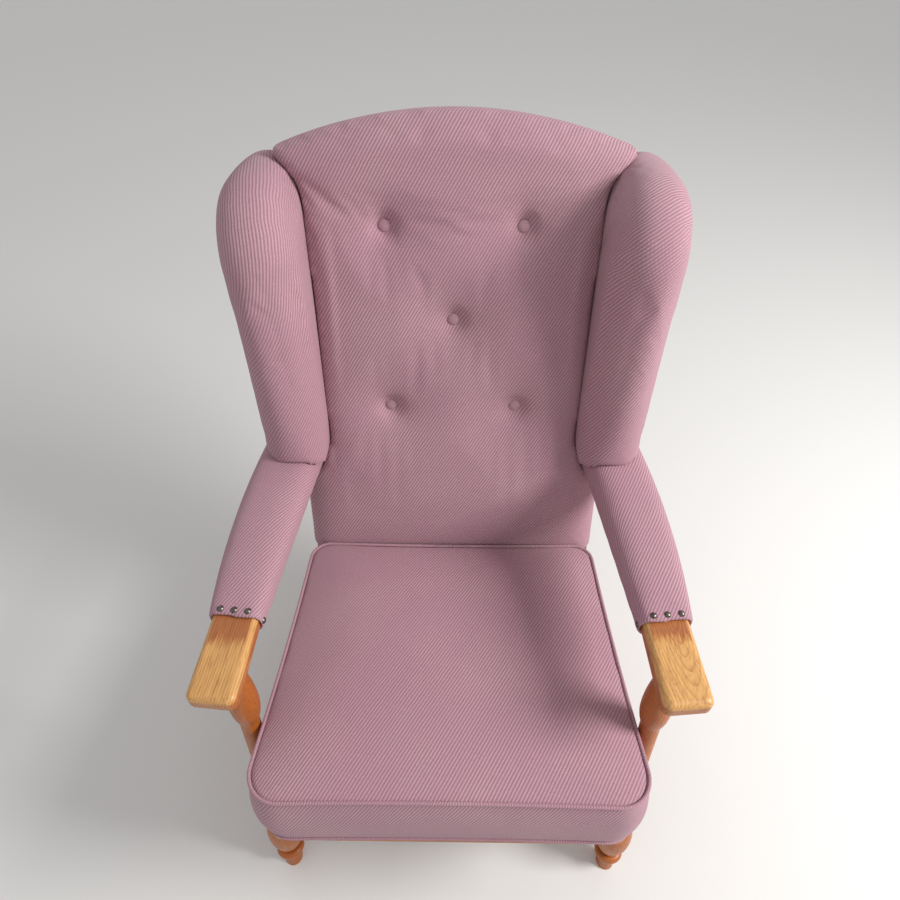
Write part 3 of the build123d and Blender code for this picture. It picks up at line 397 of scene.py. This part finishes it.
def lacquered_oak(context, name, turn, heart, band=None):
    """Oak under old lacquer: bands of late wood and short open pores in amber. With a band, its top is worn pale in
    front of that place and has kept a darker stain behind it. The paleness grows as a face turns up and spreads over
    the rounded edges, partly real wear and partly a painted highlight."""
    oak = context.scene.chair_oak
    material, tree, shader = new_material(name)
    if tree is None:
        return material
    place = add_node(tree, "ShaderNodeTexCoord")[3]
    grain = add_node(tree, "ShaderNodeMapping", {"Vector": place, "Rotation": turn, "Location": heart})[0]
    long = add_node(tree, "ShaderNodeMapping", {"Vector": grain, "Scale": (0.12, 1.0, 1.0)})[0]
    # A wave at a scale of 1 repeats every 0.314 m. Streaks are about 3 mm wide, drawn coarse enough to show.
    wave_length, streak_scale = 0.314, 330.0
    rings = add_node(tree, "ShaderNodeTexWave",
                     {"Vector": long, "Scale": wave_length / oak.ring_spacing, "Distortion": 2.0, "Detail": 2.0,
                      "Detail Scale": 0.9}, wave_type="RINGS", rings_direction="X", wave_profile="SAW")[1]
    streaks = add_node(tree, "ShaderNodeTexNoise", {"Vector": long, "Scale": streak_scale, "Detail": 3.0})[0]
    fine = add_node(tree, "ShaderNodeMapping", {"Vector": grain, "Scale": (0.05, 1.0, 1.0)})[0]
    open_pores = add_node(tree, "ShaderNodeTexNoise",
                          {"Vector": fine, "Scale": 0.6 / oak.pore_width, "Detail": 1.0})[0]
    pores = add_node(tree, "ShaderNodeMapRange", {0: open_pores, 1: 0.60, 2: 0.70, 3: 0.0, 4: 1.0})[0]
    late = add_node(tree, "ShaderNodeMapRange", {0: rings, 1: 0.50, 2: 1.0, 3: 0.0, 4: 0.60},
                    interpolation_type="SMOOTHSTEP")[0]
    streaked = add_node(tree, "ShaderNodeMapRange", {0: streaks, 1: 0.38, 2: 0.72, 3: 0.0, 4: 0.34})[0]
    early = oak.amber
    if band is not None:
        # Rubbed patches are about 40 mm across. The stain's edge is soft over 20 mm and ragged by up to 30 mm.
        rub_scale, stain_soft, stain_ragged = 26.0, 0.020, 0.030
        # The top is paled by how far each face turns up, partly real wear and partly a painted highlight.
        normal = add_node(tree, "ShaderNodeSeparateXYZ", {0: add_node(tree, "ShaderNodeNewGeometry")[1]})[2]
        rubbing = add_node(tree, "ShaderNodeTexNoise", {"Vector": place, "Scale": rub_scale, "Detail": 3.0})[0]
        facing = add_node(tree, "ShaderNodeMath", {0: rubbing, 1: 0.5, 2: normal}, operation="MULTIPLY_ADD")[0]
        worn_and_highlit = add_node(tree, "ShaderNodeMapRange", {0: facing, 1: 0.12, 2: 0.62, 3: 0.0, 4: 1.0},
                          interpolation_type="SMOOTHSTEP")[0]
        along = add_node(tree, "ShaderNodeSeparateXYZ", {0: place})[1]
        ragged = add_node(tree, "ShaderNodeMath", {0: streaks, 1: stain_ragged, 2: along},
                          operation="MULTIPLY_ADD")[0]
        open_top = add_node(tree, "ShaderNodeMapRange", {0: ragged, 1: band, 2: band + stain_soft, 3: 1.0, 4: 0.0},
                            interpolation_type="SMOOTHSTEP")[0]
        # Painted highlight: faces that turn off level, as on the rounded edges, are kept clear of the dark stain and
        # paled like the worn top.
        edge = add_node(tree, "ShaderNodeMapRange", {0: normal, 1: 0.99, 2: 0.90, 3: 0.0, 4: 0.9})[0]
        bare = add_node(tree, "ShaderNodeMath", {0: open_top, 1: edge}, operation="MAXIMUM")[0]
        paled = add_node(tree, "ShaderNodeMath", {0: worn_and_highlit, 1: bare}, operation="MULTIPLY")[0]
        under = add_node(tree, "ShaderNodeMix", {0: bare, 6: oak.stained, 7: oak.amber}, data_type="RGBA")[2]
        early = add_node(tree, "ShaderNodeMix", {0: paled, 6: under, 7: oak.golden}, data_type="RGBA")[2]
        faint = add_node(tree, "ShaderNodeMapRange", {0: paled, 1: 0.0, 2: 1.0, 3: 1.0, 4: 0.62})[0]
        late = add_node(tree, "ShaderNodeMath", {0: late, 1: faint}, operation="MULTIPLY")[0]
    ringed = add_node(tree, "ShaderNodeMix", {0: late, 6: early, 7: oak.brown}, data_type="RGBA")[2]
    figured = add_node(tree, "ShaderNodeMix", {0: streaked, 6: ringed, 7: oak.brown}, data_type="RGBA")[2]
    dark_pores = add_node(tree, "ShaderNodeMath", {0: pores, 1: 0.45}, operation="MULTIPLY")[0]
    pored = add_node(tree, "ShaderNodeMix", {0: dark_pores, 6: figured, 7: oak.pore}, data_type="RGBA")[2]
    tree.links.new(pored, shader.inputs["Base Color"])
    gloss = add_node(tree, "ShaderNodeMapRange", {0: streaks, 1: 0.3, 2: 0.7, 3: 0.34, 4: 0.50})[0]
    tree.links.new(gloss, shader.inputs["Roughness"])
    pore_depth = 0.0004
    bump = add_node(tree, "ShaderNodeBump", {"Strength": 0.25, "Distance": pore_depth, "Height": pores},
                    invert=True)[0]
    tree.links.new(bump, shader.inputs["Normal"])
    shader.inputs["Coat Weight"].default_value = 0.15
    shader.inputs["Coat Roughness"].default_value = 0.22
    return material


def plain_finish(name, codes, scale, rough, stretch=(1.0, 1.0, 1.0), metal=0.0, depth=0.0003):
    """A finish of two mottled colours with a fine matching relief. Scale is the number of mottles in a metre."""
    material, tree, shader = new_material(name)
    if tree is None:
        return material
    place = add_node(tree, "ShaderNodeTexCoord")[3]
    pulled = add_node(tree, "ShaderNodeMapping", {"Vector": place, "Scale": stretch})[0]
    mottle = add_node(tree, "ShaderNodeTexNoise", {"Vector": pulled, "Scale": scale, "Detail": 4.0})[0]
    share = add_node(tree, "ShaderNodeMapRange", {0: mottle, 1: 0.32, 2: 0.68})[0]
    mixed = add_node(tree, "ShaderNodeMix", {0: share, 6: linear(codes[0]), 7: linear(codes[1])},
                     data_type="RGBA")[2]
    tree.links.new(mixed, shader.inputs["Base Color"])
    bump = add_node(tree, "ShaderNodeBump", {"Strength": 0.4, "Distance": depth, "Height": mottle})[0]
    tree.links.new(bump, shader.inputs["Normal"])
    spread = 0.08
    varied = add_node(tree, "ShaderNodeMapRange",
                      {0: mottle, 1: 0.3, 2: 0.7, 3: rough - spread, 4: rough + spread})[0]
    tree.links.new(varied, shader.inputs["Roughness"])
    shader.inputs["Metallic"].default_value = metal
    return material


def finish_node(node, material):
    """Give a frame node that stays in view a better finish."""
    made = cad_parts[node].data
    made.materials.clear()
    made.materials.append(material)


# Pieces

def button_spots(shape):
    """Places of the buttons across and up the back."""
    spread = shape.button_spread
    return [(-spread, shape.button_top), (spread, shape.button_top), (0.0, shape.button_middle),
            (-spread, shape.button_low), (spread, shape.button_low)]


class CHAIR_OT_back(bpy.types.Operator):
    """Pad and cover the back, drawn in at its buttons"""

    bl_idname = "chair.dress_back"
    bl_label = "Dress the back"

    def execute(self, context):
        shape = context.scene.chair_shape
        padding = context.scene.chair_padding
        to_back = back_frame(shape)
        back = even_pad(context, "back_upholstery", "back_pad", padding.back_grid, smoothing=1)
        # The front is eased clear of its tufts, and more so on the open face between the sides and the top.
        face_depth, face_foot, tuft_reach, face_half, face_top, crown = -0.024, 0.01, 0.026, 0.165, 0.60, 0.57
        local = seen_from(to_back, places(back.data))
        soft = (local[:, 2] > face_depth) & (local[:, 1] > face_foot)
        for across, up in button_spots(shape):
            soft &= np.hypot(local[:, 0] - across, local[:, 1] - up) > tuft_reach
        clear = soft & (np.abs(local[:, 0]) < face_half)
        ease(back, passes=4, chosen=soft | (local[:, 1] > crown))
        ease(back, passes=45, chosen=clear & (local[:, 1] < face_top))
        # The rear, the foot and the buttons' seats are held, and the swelling grows over 50 mm round each button.
        held_depth, held_button, swell_from, swell_over, side_from = -0.030, 0.012, 0.008, 0.050, 0.17
        local = seen_from(to_back, places(back.data))
        held = (local[:, 2] < held_depth) | (local[:, 1] < 0.0)
        room = np.full(len(local), padding.back_swell)
        for across, up in button_spots(shape):
            from_button = np.hypot(local[:, 0] - across, local[:, 1] - up)
            held |= from_button < held_button
            room *= np.clip((from_button - swell_from) / swell_over, 0.0, 1.0)
        # The pad's sides may swell further, to meet the wings.
        room[np.abs(local[:, 0]) > side_from] = padding.side_swell
        fill_out(context, back, held, room)
        # The cloth runs on over the crown and down behind it.
        fold_height, fold_depth = 0.56, -0.025
        local = seen_from(to_back, places(back.data))
        over_top = np.where(local[:, 1] > fold_height, np.maximum(fold_depth - local[:, 2], 0.0), 0.0)
        lay_weave(back, np.stack([local[:, 0], local[:, 1] + over_top], 1), heights=(0.0, 0.6), angles=(57, 59))
        soften(back)
        dress(back, "frame", "mauve_twill", ribbed_twill(context), "back_pad", fill=0.7)
        return {"FINISHED"}


class CHAIR_OT_buttons(bpy.types.Operator):
    """Make the covered buttons that hold the back's tufts"""

    bl_idname = "chair.make_buttons"
    bl_label = "Make the buttons"

    def execute(self, context):
        shape = context.scene.chair_shape
        made = bmesh.new()
        radius = shape.button_radius
        # Out and up, in radii: a domed cap from its underside to the middle of its top
        profile = [(0.55, 0.00), (0.92, 0.04), (1.00, 0.16), (0.97, 0.34),
                   (0.84, 0.50), (0.60, 0.61), (0.30, 0.67), (0.0, 0.69)]
        for across, up in button_spots(shape):
            line = [made.verts.new((across + radius * out, up, shape.button_seat + radius * rise))
                    for out, rise in profile]
            edges = [made.edges.new(pair) for pair in zip(line, line[1:])]
            bmesh.ops.spin(made, geom=line + edges, cent=(across, up, 0), axis=(0, 0, 1), angle=2 * pi,
                           steps=36, use_merge=True, use_duplicate=False)
        bmesh.ops.remove_doubles(made, verts=made.verts, dist=same_place)
        bmesh.ops.recalc_face_normals(made, faces=made.faces)
        bmesh.ops.transform(made, matrix=back_frame(shape).inverted(), verts=made.verts)
        mesh = bpy.data.meshes.new("covered_buttons")
        made.to_mesh(mesh)
        made.free()
        buttons = new_piece(context, "covered_buttons", mesh)
        local = seen_from(back_frame(shape), places(mesh))
        finer = 1.8  # Small covers show the twill squeezed
        lay_weave(buttons, finer * local[:, :2], heights=(0.0,), angles=(30,))
        soften(buttons)
        dress(buttons, "frame", "mauve_twill", ribbed_twill(context), "back_buttons")
        return {"FINISHED"}


class CHAIR_OT_wings(bpy.types.Operator):
    """Pad and cover the two rolled wings and their outsides"""

    bl_idname = "chair.dress_wings"
    bl_label = "Dress the wings"

    def execute(self, context):
        shape = context.scene.chair_shape
        padding = context.scene.chair_padding
        to_back = back_frame(shape)
        # A wing is eased above its foot, and held at its rear and along its outer edge.
        foot_height, held_depth, held_out = 0.215, -0.022, 0.035
        # Side view of the wing's front edge and top, forward out of the back and up it
        ridge = np.array([(0.046, 0.150), (0.058, 0.232), (0.071, 0.314), (0.0865, 0.396), (0.104, 0.478),
                          (0.1045, 0.510), (0.096, 0.545), (0.075, 0.574), (0.034, 0.593), (-0.025, 0.606),
                          (-0.085, 0.611)])
        samples = np.linspace(0, len(ridge) - 1, 300)
        ridge = np.stack([np.interp(samples, np.arange(len(ridge)), ridge[:, i]) for i in (0, 1)], 1)
        paces = np.linalg.norm(np.diff(ridge, axis=0), axis=1)
        climb = ridge[0, 1] + np.concatenate([[0.0], np.cumsum(paces)])
        # The ribs turn as the cloth goes up a wing and over its top, differently on each hand.
        rib_heights = (0.15, 0.35, 0.53, 0.66)
        for side, hand, angles in ((-1, "left", (60, 48, 92, 102)), (1, "right", (56, 60, 36, 30))):
            wing = even_pad(context, f"wing_upholstery_{hand}", f"wing_pad_{hand}", padding.wing_grid, smoothing=1)
            local = seen_from(to_back, places(wing.data))
            # The foot keeps a crisp seam against the arm.
            ease(wing, passes=5, chosen=local[:, 1] > foot_height)
            local = seen_from(to_back, places(wing.data))
            shift = (local[:, 1] - shape.wing_pivot) * tan(shape.wing_lean)
            held = (local[:, 2] < held_depth) | (side * local[:, 0] - shift > shape.wing_middle + held_out)
            fill_out(context, wing, held, np.full(len(local), padding.wing_swell))
            # The cloth is unrolled round the wing's front.
            local = seen_from(to_back, places(wing.data))
            away = np.hypot(local[:, 2, None] - ridge[None, :, 0], local[:, 1, None] - ridge[None, :, 1])
            nearest = away.argmin(1)
            deep = away.min(1)
            shift = (local[:, 1] - shape.wing_pivot) * tan(shape.wing_lean)
            out = side * local[:, 0] - shift - shape.wing_middle
            round_front = shape.wing_round * np.arctan2(out, np.maximum(shape.wing_round - deep, sliver))
            behind = np.sign(out) * (shape.wing_round * pi / 2 + deep - shape.wing_round)
            around = np.where(deep < shape.wing_round, round_front, behind)
            lay_weave(wing, np.stack([side * around, climb[nearest]], 1), rib_heights, angles)
            soften(wing)
            dress(wing, "frame", "mauve_twill", ribbed_twill(context), f"wing_pad_{hand}", fill=0.75)
            cover = f"outside_wing_cover_{hand}"
            panel = even_pad(context, f"wing_outside_{hand}", cover, padding.panel_grid, smoothing=1)
            local = seen_from(to_back, places(panel.data))
            lay_weave(panel, np.stack([side * local[:, 2], local[:, 1]], 1), heights=(0.0,), angles=(60,))
            soften(panel)
            dress(panel, "frame", "mauve_twill", ribbed_twill(context), cover, fill=0.4)
        return {"FINISHED"}


class CHAIR_OT_arms(bpy.types.Operator):
    """Pad and cover the arms behind their bare paddles"""

    bl_idname = "chair.dress_arms"
    bl_label = "Dress the arms"

    def execute(self, context):
        shape = context.scene.chair_shape
        padding = context.scene.chair_padding
        # The wooden core and the padded section, at stations back along the arm
        core_middle, core_half, core_high, core_skin = 0.003, 0.032, 0.0133, 0.004
        pad_front, pad_back = 0.126, 0.40
        stations = (0.108, 0.254, 0.53)
        half_widths, half_heights, bows = (0.035, 0.045, 0.042), (0.021, 0.027, 0.028), (0.005, 0.012, 0.0)
        for side, hand, angle in ((-1, "left", 60), (1, "right", 56)):
            to_arm = arm_frame(shape, side)
            pad = even_pad(context, f"arm_upholstery_{hand}", f"arm_pad_{hand}", padding.arm_grid, smoothing=2)
            local = seen_from(to_arm, places(pad.data))
            # The lining on the core and both ends are held.
            deep = np.maximum(np.abs(local[:, 0] - core_middle) - core_half, np.abs(local[:, 2]) - core_high)
            held = (deep < core_skin) | (local[:, 1] < pad_front) | (local[:, 1] > pad_back)
            fill_out(context, pad, held, np.full(len(local), padding.arm_swell))
            # The cloth is unrolled over the arm's flat top, rounded corners and sides.
            local = seen_from(to_arm, places(pad.data))
            wide = np.interp(local[:, 1], stations, half_widths) - shape.arm_around
            high = np.interp(local[:, 1], stations, half_heights) - shape.arm_around
            bow = np.interp(local[:, 1], stations, bows)
            out = local[:, 0] - bow
            beyond = np.maximum(np.abs(out) - wide, 0.0)
            above = np.maximum(local[:, 2] - high, 0.0)
            corner = shape.arm_around * np.arctan2(beyond, np.maximum(above, sliver))
            down = np.where(local[:, 2] < high, high - local[:, 2], 0.0)
            around = np.sign(out) * (np.minimum(np.abs(out), wide) + np.where(beyond > 0, corner + down, 0.0))
            lay_weave(pad, np.stack([side * around, local[:, 1]], 1), heights=(0.0,), angles=(angle,))
            soften(pad)
            dress(pad, "frame", "mauve_twill", ribbed_twill(context), f"arm_pad_{hand}", fill=0.6)
        return {"FINISHED"}


class CHAIR_OT_outside(bpy.types.Operator):
    """Stretch the cover over the back's outside"""

    bl_idname = "chair.dress_outside"
    bl_label = "Dress the outside back"

    def execute(self, context):
        to_back = back_frame(context.scene.chair_shape)
        mesh = node_copy("outside_back", "outside_back_cover")
        made = bmesh.new()
        made.from_mesh(mesh)
        bmesh.ops.transform(made, matrix=to_back, verts=made.verts)
        bmesh.ops.dissolve_limit(made, angle_limit=radians(1), verts=made.verts, edges=made.edges)
        low = min(vertex.co.y for vertex in made.verts)
        high = max(vertex.co.y for vertex in made.verts)
        half = max(vertex.co.x for vertex in made.verts)
        # Cuts for the relief, then a slight fill with slack ripples over the rear face
        cuts = 30
        for step in range(1, cuts):
            for point, normal in (((0, low + (high - low) * step / cuts, 0), (0, 1, 0)),
                                  ((half * (step / (cuts / 2) - 1), 0, 0), (1, 0, 0))):
                bmesh.ops.bisect_plane(made, geom=made.verts[:] + made.edges[:] + made.faces[:], dist=0.00001,
                                       plane_co=point, plane_no=normal)
        middle = (low + high) / 2
        rear_depth, fill_depth, ripple_depth = -0.0862, 0.0012, 0.0006
        waves_across, waves_up, waves_from = 38, 17, 1.3
        for vertex in made.verts:
            inside = max(0.0, 1 - (vertex.co.x / half) ** 2)
            inside *= max(0.0, 1 - ((vertex.co.y - middle) / (high - middle)) ** 2)
            ripple = ripple_depth * sin(vertex.co.x * waves_across) * sin(vertex.co.y * waves_up + waves_from)
            vertex.co.z += 0.0 if vertex.co.z > rear_depth else inside * (fill_depth + ripple)
        bmesh.ops.transform(made, matrix=to_back.inverted(), verts=made.verts)
        made.to_mesh(mesh)
        made.free()
        panel = new_piece(context, "outside_back", mesh)
        edge = panel.modifiers.new("turned edge", "BEVEL")
        edge.width = 0.0011
        edge.segments = 3
        edge.limit_method = "ANGLE"
        edge.angle_limit = radians(50)
        local = seen_from(to_back, places(mesh))
        lay_weave(panel, np.stack([-local[:, 0], local[:, 1]], 1), heights=(0.0,), angles=(60,))
        dress(panel, "frame", "mauve_twill", ribbed_twill(context), "outside_back_cover", fill=0.1)
        return {"FINISHED"}


class CHAIR_OT_cushion(bpy.types.Operator):
    """Fill the loose seat cushion and cord its seams"""

    bl_idname = "chair.dress_cushion"
    bl_label = "Dress the seat cushion"

    def execute(self, context):
        shape = context.scene.chair_shape
        padding = context.scene.chair_padding
        to_seat = seat_frame(shape)
        front = Vector((0, -1, 0))
        cushion = even_pad(context, "seat_cushion_cover", "cushion_cover", padding.cushion_grid, smoothing=2,
                           shell_from=front)
        local = seen_from(to_seat, places(cushion.data))
        # The border stands out to its cords.
        middle = (local.max(0) + local.min(0)) / 2
        half = (local.max(0) - local.min(0)) / 2
        local[:, :2] += (local - middle)[:, :2] / half[:2] * shape.seam_stand
        moved = seen_from(to_seat.inverted(), local)
        cushion.data.vertices.foreach_set("co", moved.astype(np.float32).ravel())
        # The underside and the top seam are held, and the border swells by a third of what the top does.
        held_bottom, held_seam, below_seam, border_share = 0.004, 0.0045, 0.003, 0.35
        held = (local[:, 2] < held_bottom) | (np.abs(local[:, 2] - shape.cushion_thickness) < held_seam)
        border = local[:, 2] < shape.cushion_thickness - below_seam
        room = np.where(border, border_share * padding.cushion_swell, padding.cushion_swell)
        fill_out(context, cushion, held, room)
        # Top and border are cut from the cloth apart, so each face takes the map of the one it belongs to.
        mesh = cushion.data
        local = seen_from(to_seat, places(mesh))
        corner = np.empty(len(mesh.loops), np.int32)
        mesh.loops.foreach_get("vertex_index", corner)
        facing = np.empty(len(mesh.polygons) * 3, np.float32)
        mesh.polygons.foreach_get("normal", facing)
        sizes = np.empty(len(mesh.polygons), np.int32)
        mesh.polygons.foreach_get("loop_total", sizes)
        up = facing.reshape(-1, 3) @ np.array((0, sin(shape.seat_slope), cos(shape.seat_slope)))
        level = 0.72
        flat_face = np.repeat(np.abs(up) > level, sizes)
        at = local[corner]
        along = at[:, 0] + np.sign(at[:, 0]) * np.maximum(at[:, 1], 0.0)
        top = np.stack([at[:, 0], at[:, 1]], 1)
        side = np.stack([along, at[:, 2]], 1)
        lay_weave(cushion, np.where(flat_face[:, None], top, side), heights=(0.0,), angles=(58,))
        soften(cushion)
        dress(cushion, "seat_cushion", "mauve_twill", ribbed_twill(context), "cushion_cover", "cushion_core",
              fill=0.8)

        mesh = node_copy("seat_piping", "cushion_piping")
        piping = new_piece(context, "seat_piping", mesh)
        local = seen_from(to_seat, places(mesh))
        along = local[:, 0] + np.sign(local[:, 0]) * np.maximum(local[:, 1], 0.0)
        finer = 1.5  # The twill is squeezed round the thin cord
        lay_weave(piping, finer * np.stack([along, local[:, 2]], 1), heights=(0.0,), angles=(52,))
        dress(piping, "seat_cushion", "mauve_twill", ribbed_twill(context), "cushion_piping")
        return {"FINISHED"}


class CHAIR_OT_wood(bpy.types.Operator):
    """Lacquer the show wood and leave the hidden frame as sawn beech"""

    bl_idname = "chair.finish_wood"
    bl_label = "Finish the wood"

    def execute(self, context):
        shape = context.scene.chair_shape
        # Each piece's grain runs along it, and its rings lie round a heart that is moved to give its figure.
        across, backward, upright = (0.0, 0.0, 0.0), (0.0, 0.0, -pi / 2), (0.0, pi / 2, 0.0)
        rail_heart = (0.0, 0.0, -0.22)
        # The left arm is sawn across its rings and has straight grain, the right one along them and has arches.
        for side, hand, pitch, heart, stained in ((-1, "left", 0.0, (0.0, -0.132, -0.515), 0.080),
                                                  (1, "right", -10.0, (0.0, 0.278, -0.577), 0.092)):
            turn = (radians(pitch), 0.0, -pi / 2 - side * shape.arm_flare)
            finish_node(f"arm_{hand}", lacquered_oak(context, f"worn lacquered oak arm {hand}", turn, heart,
                                                     band=shape.arm_y + stained))
            for node, name, grain, middle in (("front_leg", "leg", upright, (0.0, side * 0.03, 0.0)),
                                              ("rear_post", "post", upright, (0.0, side * 0.05, 0.02)),
                                              ("side_rail", "side rail", backward, rail_heart)):
                finish_node(f"{node}_{hand}", lacquered_oak(context, f"lacquered oak {name} {hand}", grain, middle))
        for rail in ("front_rail", "back_rail"):
            finish_node(rail, lacquered_oak(context, f"lacquered oak {rail.replace('_', ' ')}", across, rail_heart))
        # Sawn beech is pale and even, with short darker flecks along its grain.
        beech = plain_finish("sawn beech", ("#B9966A", "#D2B489"), 160.0, 0.72, (0.12, 1.0, 1.0))
        for node in ("crest_rail", "lower_back_rail", "corner_blocks", "rail_dowels", "crest_dowels",
                     "arm_dowels", "wing_board_left", "wing_board_right"):
            finish_node(node, beech)
        return {"FINISHED"}


class CHAIR_OT_fittings(bpy.types.Operator):
    """Age the nails and finish the hidden bolts, clips, straps and webbing"""

    bl_idname = "chair.finish_fittings"
    bl_label = "Finish the fittings"

    def execute(self, context):
        # Aged brass is brown and dull in its pits and brighter where it is rubbed.
        brass = plain_finish("aged brass", ("#4A4542", "#8E857B"), 500.0, 0.36, metal=1.0, depth=0.0001)
        # Zinc plate is grey and faintly spangled.
        zinc = plain_finish("zinc plated steel", ("#8E9092", "#B5B7B9"), 300.0, 0.38, metal=1.0, depth=0.0001)
        # Rubber webbing is brown and dry with a woven face.
        rubber = plain_finish("rubber webbing", ("#8A7355", "#A28A66"), 700.0, 0.85)
        # Jute is tan and hairy, with a coarse open weave.
        jute = plain_finish("woven jute", ("#8C7449", "#BBA070"), 600.0, 0.95)
        for node in ("arm_nails_left", "arm_nails_right"):
            finish_node(node, brass)
        for node in ("leg_bolts", "post_bolts", "strap_clips"):
            finish_node(node, zinc)
        finish_node("seat_straps", rubber)
        for node in ("cross_webbing", "upright_webbing", "back_hessian", "button_ties"):
            finish_node(node, jute)
        return {"FINISHED"}


class CHAIR_OT_stage(bpy.types.Operator):
    """Set the floor, the soft light and the camera"""

    bl_idname = "chair.set_stage"
    bl_label = "Set the stage"

    def execute(self, context):
        stage = context.scene.chair_stage
        made = bmesh.new()
        bmesh.ops.create_grid(made, x_segments=1, y_segments=1, size=stage.floor_reach)
        mesh = bpy.data.meshes.new("floor")
        made.to_mesh(mesh)
        made.free()
        floor = new_piece(context, "floor", mesh)
        # Matt paint is plain and throws back soft light.
        paint, _, shader = new_material("matt floor paint")
        shader.inputs["Base Color"].default_value = stage.floor
        shader.inputs["Roughness"].default_value = 0.9
        mesh.materials.append(paint)
        world = bpy.data.worlds.new("studio")
        world.use_nodes = True
        background = world.node_tree.nodes["Background"]
        background.inputs["Color"].default_value = stage.sky_colour
        background.inputs["Strength"].default_value = stage.sky
        context.scene.world = world
        key = bpy.data.objects.new("key", bpy.data.lights.new("key", "AREA"))
        key.data.energy = stage.key_power
        key.data.size = stage.key_size
        key.location = stage.key_place
        key.rotation_euler = (Vector(stage.key_aim) - key.location).to_track_quat("-Z", "Y").to_euler()
        context.scene.collection.objects.link(key)
        camera = bpy.data.objects.new("camera", bpy.data.cameras.new("camera"))
        camera.data.sensor_width = stage.sensor
        camera.data.lens = stage.lens
        camera.location = (stage.camera_x, stage.camera_y, stage.camera_z)
        camera.rotation_euler = (pi / 2 - stage.camera_dip, 0.0, stage.camera_turn)
        context.scene.collection.objects.link(camera)
        context.scene.camera = camera
        context.scene.view_settings.view_transform = "Standard"
        return {"FINISHED"}


class CHAIR_PT_panel(bpy.types.Panel):
    """Steps of the dressing, in order"""

    bl_idname = "CHAIR_PT_panel"
    bl_label = "Wingback chair"
    bl_space_type = "VIEW_3D"
    bl_region_type = "UI"
    bl_category = "Chair"

    def draw(self, context):
        for step in steps:
            self.layout.operator(step.bl_idname)


steps = (CHAIR_OT_stage, CHAIR_OT_wood, CHAIR_OT_fittings, CHAIR_OT_back, CHAIR_OT_buttons, CHAIR_OT_wings,
         CHAIR_OT_arms, CHAIR_OT_outside, CHAIR_OT_cushion)
settings = {"chair_shape": ChairShape, "chair_cloth": ChairCloth, "chair_padding": ChairPadding,
            "chair_oak": ChairOak, "chair_stage": ChairStage}


def register():
    """Add the settings, the steps and the panel."""
    for group in (*settings.values(), *steps, CHAIR_PT_panel):
        bpy.utils.register_class(group)
    for name, group in settings.items():
        setattr(bpy.types.Scene, name, PointerProperty(type=group))


def unregister():
    """Take them away again."""
    for name in settings:
        delattr(bpy.types.Scene, name)
    for group in (CHAIR_PT_panel, *reversed(steps), *settings.values()):
        bpy.utils.unregister_class(group)


def main():
    """Dress the chair."""
    register()
    bpy.ops.chair.set_stage()
    bpy.ops.chair.finish_wood()
    bpy.ops.chair.finish_fittings()
    bpy.ops.chair.dress_back()
    bpy.ops.chair.make_buttons()
    bpy.ops.chair.dress_wings()
    bpy.ops.chair.dress_arms()
    bpy.ops.chair.dress_outside()
    bpy.ops.chair.dress_cushion()


if __name__ == "__main__":
    main()
